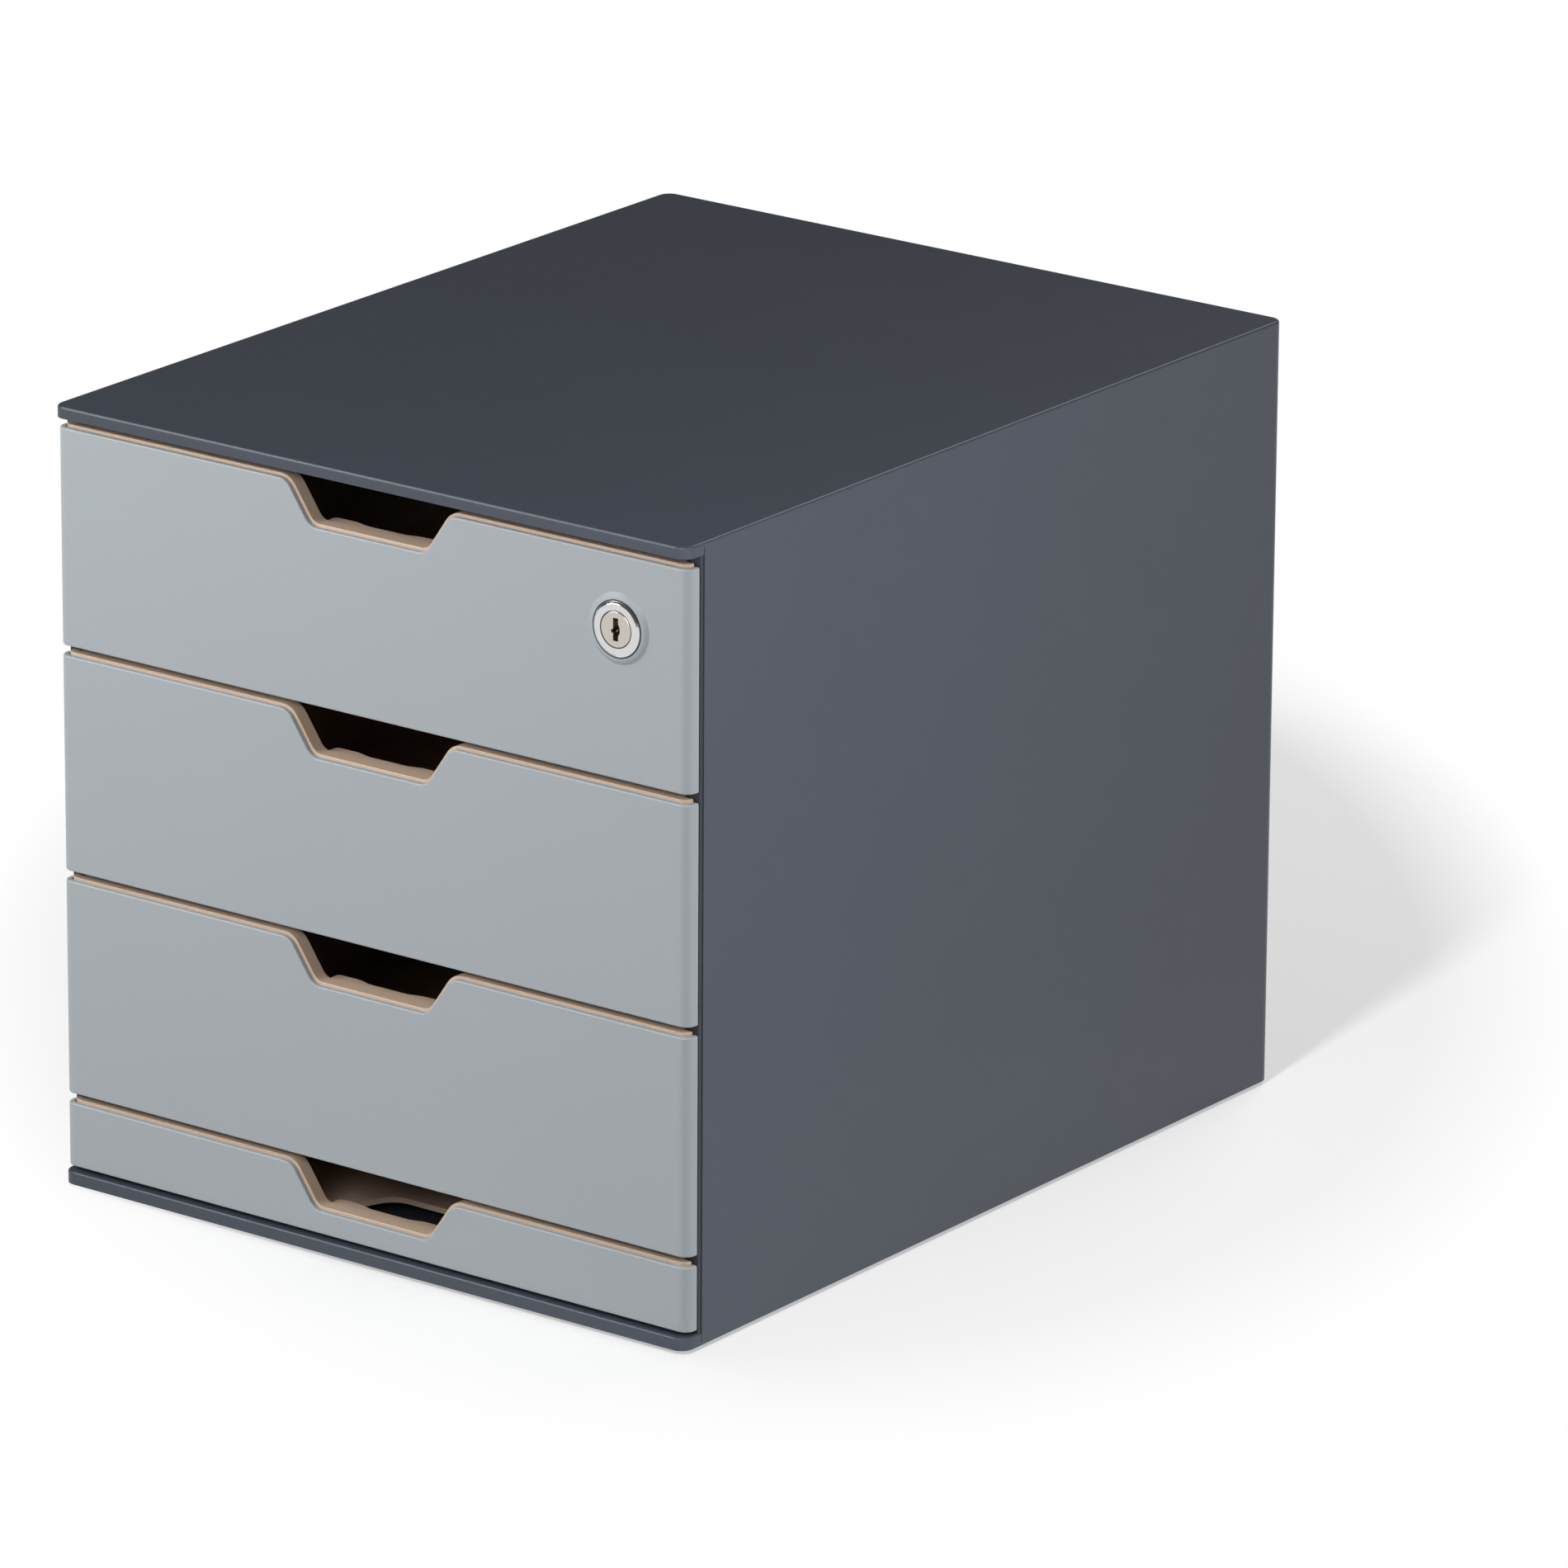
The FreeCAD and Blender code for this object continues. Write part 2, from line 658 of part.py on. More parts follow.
def runner_flange(body, top):
    """The rim turned outwards along the sides and the back, on which the drawer runs."""
    sketch = sketch_on(body, "XY_Plane", f"{top} - dims.rim_skin")
    lap = "(dims.tray_half - dims.overlap)"
    lap_back = "dims.tray_back - dims.overlap"
    lap_corner = "dims.tray_corner - dims.overlap"
    front = f"dims.overlap - {WALL}"
    outline(sketch, [("-dims.rim_half", front), (f"-{lap}", front), (f"-{lap}", lap_back, lap_corner),
                     (lap, lap_back, lap_corner), (lap, front), ("dims.rim_half", front),
                     ("dims.rim_half", "dims.rim_back", "dims.tray_corner"),
                     ("-dims.rim_half", "dims.rim_back", "dims.tray_corner")])
    pad(body, sketch, "dims.rim_skin")


def front_wall(body, top):
    """The wall behind the front panel, and a band along its upper edge that stands above the panel."""
    rim = f"({top} + dims.band_rise)"
    notch_offset = "-dims.band_rise"
    wall = sketch_on(body, "XZ_Plane", INNER)
    rectangle(wall, ("-dims.wall_half", "dims.tray_foot"), ("dims.wall_half", rim))
    pad(body, wall, "dims.tray_skin")
    cut_notch(body, WALL, top, notch_offset, "dims.tray_skin + dims.overcut")

    band = sketch_on(body, "XZ_Plane", WALL)
    under = f"({rim} - dims.band_skin)"
    outline(band, [("-dims.band_half", under), ("-dims.band_half", rim),
                   *notch_path(top, notch_offset),
                   ("dims.band_half", rim), ("dims.band_half", under),
                   *reversed(notch_path(top, f"dims.band_skin {notch_offset}"))])
    pad(body, band, "dims.front_deep - dims.front_skin")
    front = number_of(f"-{BAND}")
    soften(body, "Fillet", lambda b: near(b.YMax, front) and near(b.XMin, b.XMax), "dims.band_corner")
    soften(body, "Fillet", lambda b: near(b.YMax, front) and near(b.YMin, front), "dims.band_edge")


def ledge(body, top):
    """Finger ledge behind the notch, with its rear edge drawn in over the middle."""
    notch_floor = f"({top} + dims.band_rise - dims.notch_depth)"
    sketch = sketch_on(body, "XY_Plane", f"{notch_floor} - dims.ledge_drop - dims.ledge_skin")
    back = f"(dims.ledge_reach - {INNER})"
    dip = f"(dims.ledge_reach - dims.ledge_dip - {INNER})"
    start = f"(-dims.overlap - {INNER})"
    right = [("dims.ledge_dip_half", dip, "dims.ledge_dip_round"),
             ("dims.ledge_dip_end", back, "dims.ledge_dip_round"),
             ("dims.ledge_half", back, "dims.ledge_corner"), ("dims.ledge_half", start)]
    left = [(f"-{x}", *rest) for x, *rest in reversed(right)]
    outline(sketch, left + right)
    pad(body, sketch, "dims.ledge_skin")


def floor_cutout(body, floor_top):
    """Opening behind the front wall that leaves room for fingers in the drawer below's notch."""
    sketch = sketch_on(body, "XY_Plane", f"{floor_top} + dims.overcut")
    front_half, front = "dims.cutout_front_half", "-dims.cutout_front"
    back_half, back = "dims.cutout_back_half", "-dims.cutout_back"
    outline(sketch, [(f"-{front_half}", front, "dims.cutout_front_round"),
                     (front_half, front, "dims.cutout_front_round"),
                     (back_half, back, "dims.cutout_round"),
                     (f"-{back_half}", back, "dims.cutout_round")])
    pocket(body, sketch, "dims.tray_skin + 2 * dims.overcut")


def stop_tabs(body, top):
    """Tabs on the runner flanges that meet the lugs at the end of the travel."""
    front = "(dims.travel + dims.stop_gap + dims.lug_length - dims.rail_start)"
    sketch = sketch_on(body, "XY_Plane", f"{top} - dims.rim_skin")
    for side in SIDES.values():
        low, high = spread(side, "(dims.rim_half - dims.overlap)", "(dims.rim_half + dims.tab_reach)")
        rectangle(sketch, (low, front), (high, f"{front} + dims.tab_length"))
    pad(body, sketch, "dims.rim_skin")


def lock_seat(body):
    """Boss and hole for the lock's barrel in the front wall of drawer 1."""
    up = f"dims.lock_up - {front_foot(1)}"
    seat = sketch_on(body, "XZ_Plane", f"{WALL} - dims.overlap")
    circle(seat, "dims.lock_across", up, "dims.washer_radius")
    pad(body, seat, "dims.front_deep - dims.front_skin + dims.overlap")
    hole = sketch_on(body, "XZ_Plane", LIP)
    circle(hole, "dims.lock_across", up, "dims.barrel_radius + dims.fit_gap")
    pocket(body, hole, "dims.lip_depth * 1.5")


def front_panel(number):
    body = new_body(f"front_panel_{number}")
    top = front_height(number)
    half = "dims.width / 2"
    inner_half = "(dims.width / 2 - dims.front_skin)"
    inner_corner = "dims.front_corner - dims.front_skin"

    plan = sketch_on(body, "XY_Plane", "0")
    outline(plan, [(f"-{half}", f"-{WALL}"), (f"-{half}", f"-{FACE}", "dims.front_corner"),
                   (half, f"-{FACE}", "dims.front_corner"), (half, f"-{WALL}"),
                   (inner_half, f"-{WALL}"), (inner_half, f"-{BAND}", inner_corner),
                   (f"-{inner_half}", f"-{BAND}", inner_corner), (f"-{inner_half}", f"-{WALL}")])
    pad(body, plan, top)

    lower = sketch_on(body, "XY_Plane", "0")
    lap = f"({inner_half} + dims.overlap)"
    lap_front = f"-{BAND} - dims.overlap"
    outline(lower, [(f"-{lap}", f"-{WALL}"), (f"-{lap}", lap_front, inner_corner),
                    (lap, lap_front, inner_corner), (lap, f"-{WALL}")])
    pad(body, lower, "dims.front_return")
    cut_notch(body, LIP, top, "0", "dims.lip_depth")

    face = -number_of(FACE)
    notch_z = number_of(f"{top} - dims.notch_depth - dims.overcut")
    soften(body, "Fillet", lambda b: near(b.YMin, face) and near(b.YMax, face) and b.ZMin > notch_z,
           "dims.front_edge")
    soften(body, "Fillet", lambda b: near(b.YMin, face) and near(b.YMax, face) and near(b.ZMax, 0),
           "dims.front_lower_edge")
    screw_bosses(body, number)
    if number == 1:
        lock_collar(body)
    body.setExpression("Placement.Base.z", front_foot(number))


def screw_bosses(body, number):
    bosses = sketch_on(body, "XZ_Plane", WALL)
    pilots = sketch_on(body, "XZ_Plane", f"{BAND} - dims.overlap")
    for across, up in front_screw_places(number):
        circle(bosses, across, up, "dims.boss_radius")
        circle(pilots, across, up, "dims.screw_radius + dims.screw_fit")
    pad(body, bosses, "dims.front_deep - dims.front_skin + dims.overlap")
    pocket(body, pilots, "dims.front_deep")


def lock_collar(body):
    """Raised ring of the front panel round the lock, with the hole for the barrel."""
    up = f"dims.lock_up - {front_foot(1)}"
    ring = sketch_on(body, "XZ_Plane", FACE)
    circle(ring, "dims.lock_across", up, "dims.collar_radius")
    narrowed_pad(body, ring, "dims.collar_rise", "(dims.collar_radius - dims.collar_crown)")
    crown = -number_of(COLLAR)
    soften(body, "Fillet", lambda b: near(b.YMax, crown), "dims.collar_edge")
    hole = sketch_on(body, "XZ_Plane", LIP)
    circle(hole, "dims.lock_across", up, "dims.barrel_radius + dims.fit_gap")
    pocket(body, hole, "dims.lip_depth * 1.5")


# ---------------------------------------------------------------- lock


def place_on_lock(piece):
    piece.setExpression("Placement.Base.x", "dims.lock_across")
    piece.setExpression("Placement.Base.z", "dims.lock_up")


def lock_housing():
    body = new_body("lock_housing")
    bezel = sketch_on(body, "XZ_Plane", COLLAR)
    circle(bezel, "0", "0", "dims.bezel_radius")
    narrowed_pad(body, bezel, "dims.bezel_rise", "(dims.bezel_radius - dims.bezel_crown)")
    rim = -number_of(BEZEL)
    soften(body, "Fillet", lambda b: near(b.YMax, rim), "dims.bezel_round")
    barrel = sketch_on(body, "XZ_Plane", "dims.barrel_back")
    circle(barrel, "0", "0", "dims.barrel_radius")
    pad(body, barrel, f"{COLLAR} - dims.barrel_back + dims.overlap")
    bore = sketch_on(body, "XZ_Plane", LIP)
    circle(bore, "0", "0", "dims.plug_radius + dims.plug_clear")
    pocket(body, bore, "dims.depth / 4")
    mouth = number_of("dims.barrel_radius")
    soften(body, "Chamfer", lambda b: near(b.YMax, rim) and b.XMax < mouth, "dims.lock_chamfer")
    place_on_lock(body)


def keyway(sketch):
    outline(sketch, [(str(across), f"{share} * dims.keyway_half") for across, share in KEYWAY])


def wafer_places():
    return [f"(dims.wafer_first - {step} * dims.wafer_pitch)" for step in range(WAFERS)]


def lock_plug():
    body = new_body("lock_plug")
    cylinder = sketch_on(body, "XZ_Plane", CAM)
    circle(cylinder, "0", "0", "dims.plug_radius")
    pad(body, cylinder, f"{PLUG} - {CAM}")
    front = -number_of(PLUG)
    soften(body, "Fillet", lambda b: near(b.YMax, front), "dims.lock_chamfer")

    slot = sketch_on(body, "XZ_Plane", PLUG)
    keyway(slot)
    pocket(body, slot, "dims.keyway_deep")
    for forward in wafer_places():
        wafer_slot = sketch_on(body, "XZ_Plane", f"{forward} + dims.wafer_slack")
        reach = "(dims.wafer_half + dims.wafer_slack)"
        rectangle(wafer_slot, (f"-{reach}", "-dims.plug_radius"), (reach, "dims.plug_radius"))
        pocket(body, wafer_slot, "dims.wafer_deep + 2 * dims.wafer_slack")

    tang = sketch_on(body, "XZ_Plane", f"{CAM} - dims.cam_skin + dims.tang_slack")
    rectangle(tang, ("-dims.tang_half", "-dims.tang_half"), ("dims.tang_half", "dims.tang_half"),
              "dims.tang_corner")
    pad(body, tang, "dims.cam_skin")
    thread = sketch_on(body, "XZ_Plane", f"{CAM} - dims.cam_skin")
    circle(thread, "0", "0", "dims.cam_screw_radius + dims.screw_fit")
    pocket(body, thread, "dims.cam_screw_length + dims.overcut", reverse=True)
    place_on_lock(body)


def lock_wafers():
    """Six flat brass wafers, each with a window for the key."""
    body = new_body("lock_wafers")
    for forward in wafer_places():
        wafer = sketch_on(body, "XZ_Plane", f"{forward} - dims.wafer_deep")
        rectangle(wafer, ("-dims.wafer_half", "-dims.wafer_tall"),
                  ("dims.wafer_half", "dims.wafer_tall"))
        rectangle(wafer, ("-dims.wafer_window_half", "-dims.wafer_window_tall"),
                  ("dims.wafer_window_half", "dims.wafer_window_tall"))
        pad(body, wafer, "dims.wafer_deep")
    reach = number_of("dims.wafer_tall")
    soften(body, "Chamfer", lambda b: near(b.XMin, b.XMax) and near(abs(b.ZMin + b.ZMax), 2 * reach),
           "dims.wafer_chamfer")
    place_on_lock(body)


def lock_cam():
    """Flat cam on the square of the plug, at rest pointing to the middle of the drawer."""
    body = new_body("lock_cam")
    blade = sketch_on(body, "XZ_Plane", f"{CAM} - dims.cam_skin")
    half = "dims.cam_half"
    outline(blade, [(half, f"-{half}", "dims.cam_end_round"), (half, half, "dims.cam_end_round"),
                    ("-dims.cam_length", half, "dims.cam_corner"),
                    ("-dims.cam_length", f"-{half}", "dims.cam_corner")])
    pad(body, blade, "dims.cam_skin")
    square = sketch_on(body, "XZ_Plane", f"{CAM} + dims.overcut")
    reach = "(dims.tang_half + dims.tang_slack)"
    rectangle(square, (f"-{reach}", f"-{reach}"), (reach, reach), "dims.tang_corner")
    pocket(body, square, "dims.cam_skin + 2 * dims.overcut")
    place_on_lock(body)


def ring_piece(label, forward, deep, outer, inner):
    """A washer whose front face is at a distance in front of the middle."""
    body = new_body(label)
    ring = sketch_on(body, "XZ_Plane", f"{forward} - {deep}")
    circle(ring, "0", "0", outer)
    circle(ring, "0", "0", inner)
    pad(body, ring, deep)
    place_on_lock(body)


def lock_nut():
    body = new_body("lock_nut")
    hexagon = sketch_on(body, "XZ_Plane", f"{INNER} - dims.washer_deep - dims.nut_deep")
    corners = [(math.cos(math.radians(60 * i)), math.sin(math.radians(60 * i))) for i in range(6)]
    across = f"dims.nut_flats / {math.cos(math.radians(30)):.6f}"
    outline(hexagon, [(f"{x:.6f} * {across}", f"{y:.6f} * {across}") for x, y in corners])
    circle(hexagon, "0", "0", "dims.barrel_radius + dims.plug_clear")
    pad(body, hexagon, "dims.nut_deep")
    place_on_lock(body)


# ---------------------------------------------------------------- strike, feet and screws


def lock_strike():
    """Steel angle under the casing's top: the raised cam stands behind its upright leg."""
    body = new_body("lock_strike")
    section = sketch_on(body, "YZ_Plane", "dims.lock_across - dims.strike_half")
    front = "-dims.strike_front"
    back = "-dims.strike_back"
    low = f"({CEILING} - dims.strike_drop)"
    under = f"({CEILING} - dims.strike_skin)"
    upright = f"{back} - dims.strike_skin"
    outline(section, [(front, CEILING), (front, under), (upright, under, "dims.strike_bend_inside"),
                      (upright, low), (back, low), (back, CEILING, "dims.strike_bend")])
    pad(body, section, "2 * dims.strike_half")
    holes = sketch_on(body, "XY_Plane", f"{CEILING} + dims.overcut")
    for across in strike_screw_places():
        circle(holes, across, strike_screw_along(), "dims.small_screw_radius + dims.fit_gap / 2")
    pocket(body, holes, "dims.strike_skin + 2 * dims.overcut")


def foot(label, across, along):
    body = new_body(label)
    stem = sketch_on(body, "XY_Plane", "dims.foot_proud")
    circle(stem, "0", "0", "dims.foot_stem - dims.screw_fit")
    pad(body, stem, "dims.base_skin")
    pad_sketch = sketch_on(body, "XY_Plane", "0")
    circle(pad_sketch, "0", "0", "dims.foot_radius")
    pad(body, pad_sketch, "dims.foot_proud")
    soften(body, "Fillet", lambda b: near(b.ZMax, 0), "dims.foot_edge")
    body.setExpression("Placement.Base.x", across)
    body.setExpression("Placement.Base.y", along)


def screw_pattern(name, head, head_deep, shank, length):
    """Pan-head screw along its own +Z, its seat at the origin; the pattern for groups of screws."""
    cap = DOC.addObject("Part::Cylinder", f"{name}_head")
    cap.setExpression("Radius", head)
    cap.setExpression("Height", head_deep)
    stem = DOC.addObject("Part::Cylinder", f"{name}_shank")
    stem.setExpression("Radius", shank)
    stem.setExpression("Height", length)
    stem.setExpression("Placement.Base.z", f"-({length})")
    blank = DOC.addObject("Part::Fuse", f"{name}_blank")
    blank.Base = cap
    blank.Tool = stem
    long_side, short_side = f"{RECESS_LENGTH} * {head}", f"{RECESS_WIDTH} * {head}"
    cross = DOC.addObject("Part::Fuse", f"{name}_cross")
    cross.Base = recess_slot(name, head_deep, long_side, short_side)
    cross.Tool = recess_slot(name, head_deep, short_side, long_side)
    screw = DOC.addObject("Part::Cut", name)
    screw.Base = blank
    screw.Tool = cross
    return screw


def recess_slot(name, head_deep, wide, thin):
    slot = DOC.addObject("Part::Box", f"{name}_slot")
    slot.setExpression("Length", wide)
    slot.setExpression("Width", thin)
    slot.setExpression("Height", head_deep)
    slot.setExpression("Placement.Base.x", f"-({wide}) / 2")
    slot.setExpression("Placement.Base.y", f"-({thin}) / 2")
    slot.setExpression("Placement.Base.z", f"({head_deep}) * {1 - RECESS_DEPTH}")
    return slot


def screw_group(label, screw, seats, turn):
    """One node of identical screws, each at a seat (x, y, z), turned from +Z by a rotation."""
    links = []
    for seat in seats:
        link = DOC.addObject("App::Link", f"{label}_screw")
        link.LinkedObject = screw
        link.Placement = FreeCAD.Placement(FreeCAD.Vector(), turn)
        for axis, expression in zip("xyz", seat):
            link.setExpression(f"Placement.Base.{axis}", expression)
        links.append(link)
    group = DOC.addObject("Part::Compound", label)
    group.Label = label
    group.Links = links
    PIECES.append(group)


def screws():
    to_back = FreeCAD.Rotation(FreeCAD.Vector(1, 0, 0), -90)
    downwards = FreeCAD.Rotation(FreeCAD.Vector(1, 0, 0), 180)
    front_screw = screw_pattern("pan_screw", "dims.screw_head", "dims.screw_head_deep",
                                "dims.screw_radius", "dims.front_screw_length")
    case_screw = screw_pattern("case_screw", "dims.screw_head", "dims.screw_sink",
                               "dims.screw_radius", "dims.case_screw_length")
    small_screw = screw_pattern("small_screw", "dims.small_screw_head", "dims.small_screw_head_deep",
                                "dims.small_screw_radius - dims.screw_fit", "dims.small_screw_length")
    cam_screw = screw_pattern("machine_screw", "dims.cam_screw_head", "dims.cam_screw_head_deep",
                              "dims.cam_screw_radius", "dims.cam_screw_length")
    for number in range(1, DRAWERS + 1):
        seats = [(x, f"-{INNER}", f"{front_foot(number)} + {up}")
                 for x, up in front_screw_places(number)]
        screw_group(f"front_screws_{number}", front_screw, seats, to_back)
    seats = [(x, f"{LIP} - dims.screw_sink", up) for x, up in back_screw_places()]
    screw_group("back_screws", case_screw, seats, to_back)
    seats = [(x, y, "dims.foot_proud + dims.screw_sink") for x, y in base_screw_places()]
    screw_group("base_screws", case_screw, seats, downwards)
    seats = [(x, strike_screw_along(), f"{CEILING} - dims.strike_skin")
             for x in strike_screw_places()]
    screw_group("strike_screws", small_screw, seats, downwards)
    seat = ("dims.lock_across", f"dims.cam_skin + dims.washer_deep - {CAM}", "dims.lock_up")
    screw_group("cam_screw", cam_screw, [seat], to_back)


# ---------------------------------------------------------------- build


def build():
    make_sheet()
    casing_shell()
    base_plate()
    back_panel()
    for name, side in SIDES.items():
        runner_panel(name, side)
    for label, place in foot_places().items():
        foot(label, *place)
    lock_strike()
    for number in range(1, DRAWERS + 1):
        tray(number)
        front_panel(number)
    lock_housing()
    ring_piece("lock_washer", INNER, "dims.washer_deep", "dims.washer_radius",
               "dims.barrel_radius + dims.plug_clear")
    lock_nut()
    lock_plug()
    lock_wafers()
    lock_cam()
    ring_piece("cam_washer", f"{CAM} - dims.cam_skin", "dims.washer_deep", "dims.cam_washer_radius",
               "dims.cam_screw_radius + dims.plug_clear")
    screws()
    DOC.recompute()


def check():
    """Stops if any object failed or any sub-part's shape isn't valid."""
    for item in DOC.Objects:
        if "Invalid" in item.State or "Error" in item.State:
            raise RuntimeError(f"{item.Label} failed: {item.State}")
    for piece in PIECES:
        if piece.Shape.isNull() or not piece.Shape.isValid():
            raise RuntimeError(f"{piece.Label} has no valid shape")


def write():
    os.makedirs("parts", exist_ok=True)
    for piece in PIECES:
        piece.Shape.exportStep(f"parts/{piece.Label}.step")


build()
check()
write()
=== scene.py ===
"""Looks of the desktop file drawer: finishes of the moulded and metal pieces, floor, light and camera."""

import json
import math
from collections import namedtuple

import bpy
from mathutils import Matrix, Vector


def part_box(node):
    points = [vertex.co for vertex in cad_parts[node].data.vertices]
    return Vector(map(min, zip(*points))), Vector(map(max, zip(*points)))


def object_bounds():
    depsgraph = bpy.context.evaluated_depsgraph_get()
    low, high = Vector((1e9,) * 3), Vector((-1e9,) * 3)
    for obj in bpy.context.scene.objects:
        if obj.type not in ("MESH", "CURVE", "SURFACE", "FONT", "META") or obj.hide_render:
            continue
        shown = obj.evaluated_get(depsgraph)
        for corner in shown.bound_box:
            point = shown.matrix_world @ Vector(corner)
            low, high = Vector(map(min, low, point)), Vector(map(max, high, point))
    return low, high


# one millimetre in scene units; sizes that aren't given in it are in metres, and angles in degrees
MM = 0.001

# camera: seen from the object's middle, lens in millimetres
CAMERA_AZIMUTH = 36.69
CAMERA_ELEVATION = 18.31
CAMERA_ROLL = 0.35
CAMERA_DISTANCE = 4.243
CAMERA_LENS = 270.95
CAMERA_SENSOR = 36
CAMERA_REACH = 100
MIDDLE_LEFT_OF_AXIS = 0.0391
MIDDLE_ABOVE_AXIS = 0.0118

# lamps: what each lights, and as its level what a white surface that faces it sends back;
# the long shadows of the low lamps would cross the floor, which has a lamp of its own,
# and the mirror image of the two near lamps would burn out the top seen from the other side
Lamp = namedtuple("Lamp", "lights azimuth elevation distance size level mirrored", defaults=(True,))
LAMPS = {
    "key": Lamp("object", azimuth=-34, elevation=22, distance=1.3, size=0.6, level=0.39),
    "edge": Lamp("object", azimuth=-52, elevation=42, distance=1.6, size=0.4, level=0.28),
    "front": Lamp("plastic", azimuth=17, elevation=28, distance=1.6, size=0.7, level=0.38),
    "side": Lamp("casing", azimuth=62, elevation=20, distance=0.95, size=0.9, level=1.2, mirrored=False),
    "flank": Lamp("drawers", azimuth=102, elevation=20, distance=1.1, size=0.9, level=0.74, mirrored=False),
    "ground": Lamp("floor", azimuth=17, elevation=45, distance=1.6, size=0.18, level=0.38),
    "back": Lamp("everything", azimuth=180, elevation=45, distance=1.6, size=0.9, level=0.19),
}

# surroundings: level at and below the horizon's end, and above the ceiling's start
HORIZON_LEVEL = 0.30
HORIZON_END = 2.0
CEILING_LEVEL = 0.087
CEILING_START = 10.0

# floor, and the turned oval about the shadow near whose rim the floor becomes evenly white
FLOOR_SIZE = 40.0
FLOOR_COLOUR = 0.93
FLOOR_GLOW = 0.477
FAR_BOUNCE = 0.36
FAR_MIRRORED = 0.80
OVAL_MIDDLE = (-0.091, 0.181)
OVAL_TURN = 36.69
OVAL_HALVES = (0.295, 0.50)
FADE_START = 0.84
FADE_END = 1.04

# edges: width of the paler band along them, partly wear and partly a painted highlight, and the turn of the
# rounded normal at which it starts and is full, as cosines
EDGE_WIDTH = 0.5 * MM
EDGE_SAMPLES = 3
PALE_EDGE_START = 0.99
PALE_EDGE_FULL = 0.75

# moulded plastic: sizes of the lumps of each unevenness, its depths, and how far the gloss goes up and down
PLASTIC_IOR = 1.49
CLOUD_SIZE = 60 * MM
SCUFF_SIZE = 7 * MM
GLOSS_SIZE = 9 * MM
GLOSS_SWING = 0.05
WORN_POLISH = 0.12
FLOW_SIZE = 45 * MM
FLOW_DEPTH = 0.12 * MM
GRAIN_SIZE = 0.35 * MM
GRAIN_DEPTH = 0.004 * MM

# painted shade in the gaps round the lock: how far from the rim it is full and how far from it it has
# ended, outside the bezel on the drawer's front, inside the bezel's rim, and outside the plug on the bezel
COLLAR_PAINTED_SHADE = (0.25 * MM, 0.40 * MM)
FOOT_PAINTED_SHADE = (0.15 * MM, 0.40 * MM)
MOUTH_PAINTED_SHADE = (0.25 * MM, 0.45 * MM)
# how dark the painted shade makes the plastic and the chrome, and how rough the chrome is under it
PLASTIC_PAINTED_SHADE = 0.08
CHROME_PAINTED_SHADE = 0.05
CHROME_PAINTED_SHADE_ROUGHNESS = 0.5

# metals: darker spots, fine marks of plated metal and lathe rings of turned metal
SPOT_SIZE = 3 * MM
SPOT_SHADE = 0.93
MARK_SIZE = 0.4 * MM
MARK_DEPTH = 0.002 * MM
MARK_SWING = 0.3
RING_PITCH = 1 * MM
RING_SHADE = 0.94
RING_DEPTH = 0.003 * MM
RING_SWING = 0.2
RING_WOBBLE = 0.6
# how far apart the rings of a wave texture lie at a scale of 1
WAVE_PITCH = 0.314

# rubber: dust in its pores
RUBBER_SPECULAR = 0.3
DUST_SIZE = 2 * MM
DUST_SHADE = 1.6
DUST_DEPTH = 0.02 * MM
RUBBER_ROUGHNESS = (0.7, 0.9)

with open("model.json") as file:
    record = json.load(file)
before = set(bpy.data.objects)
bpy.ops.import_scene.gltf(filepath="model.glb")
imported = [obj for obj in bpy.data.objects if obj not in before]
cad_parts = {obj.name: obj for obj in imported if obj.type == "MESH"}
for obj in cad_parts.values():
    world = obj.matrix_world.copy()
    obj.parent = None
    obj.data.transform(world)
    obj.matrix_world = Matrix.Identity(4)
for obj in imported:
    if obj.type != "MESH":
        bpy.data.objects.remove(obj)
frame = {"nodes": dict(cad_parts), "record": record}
cad_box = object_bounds()


# ---------------------------------------------------------------- node helpers


def srgb(red, green, blue):
    """Linear colour of an sRGB colour given as 0 to 255."""
    def linear(value):
        value /= 255
        return value / 12.92 if value <= 0.04045 else ((value + 0.055) / 1.055) ** 2.4
    return (linear(red), linear(green), linear(blue), 1.0)


def shade_of(colour, share):
    """The colour made lighter or darker by a share."""
    return tuple(min(channel * share, 1.0) for channel in colour[:3]) + (1.0,)


def new_material(name):
    """Empty material, its node tree and the socket that takes its surface."""
    material = bpy.data.materials.new(name + "_finish")
    material.use_nodes = True
    tree = material.node_tree
    tree.nodes.clear()
    return material, tree, tree.nodes.new("ShaderNodeOutputMaterial").inputs["Surface"]


def new_finish(name, metallic=0.0):
    """Material with one Principled shader, its node tree and that shader."""
    material, tree, surface = new_material(name)
    shader = tree.nodes.new("ShaderNodeBsdfPrincipled")
    shader.inputs["Metallic"].default_value = metallic
    join(tree, shader.outputs["BSDF"], surface)
    return material, tree, shader


def join(tree, source, target):
    """Link an output socket to an input socket."""
    tree.links.new(source, target)


def scaled(tree, source, low, high, start=0.0, end=1.0):
    """A value from start to end stretched to low to high, and held there outside."""
    node = tree.nodes.new("ShaderNodeMapRange")
    node.inputs["From Min"].default_value = start
    node.inputs["From Max"].default_value = end
    node.inputs["To Min"].default_value = low
    node.inputs["To Max"].default_value = high
    join(tree, source, node.inputs["Value"])
    return node.outputs["Result"]


def swung(tree, source, middle, share):
    """A value from 0 to 1 stretched to a share below and above a middle."""
    return scaled(tree, source, middle * (1 - share), middle * (1 + share))


def combined(tree, operation, first, second):
    """The number that an operation makes of two numbers."""
    node = tree.nodes.new("ShaderNodeMath")
    node.operation = operation
    join(tree, first, node.inputs[0])
    join(tree, second, node.inputs[1])
    return node.outputs["Value"]


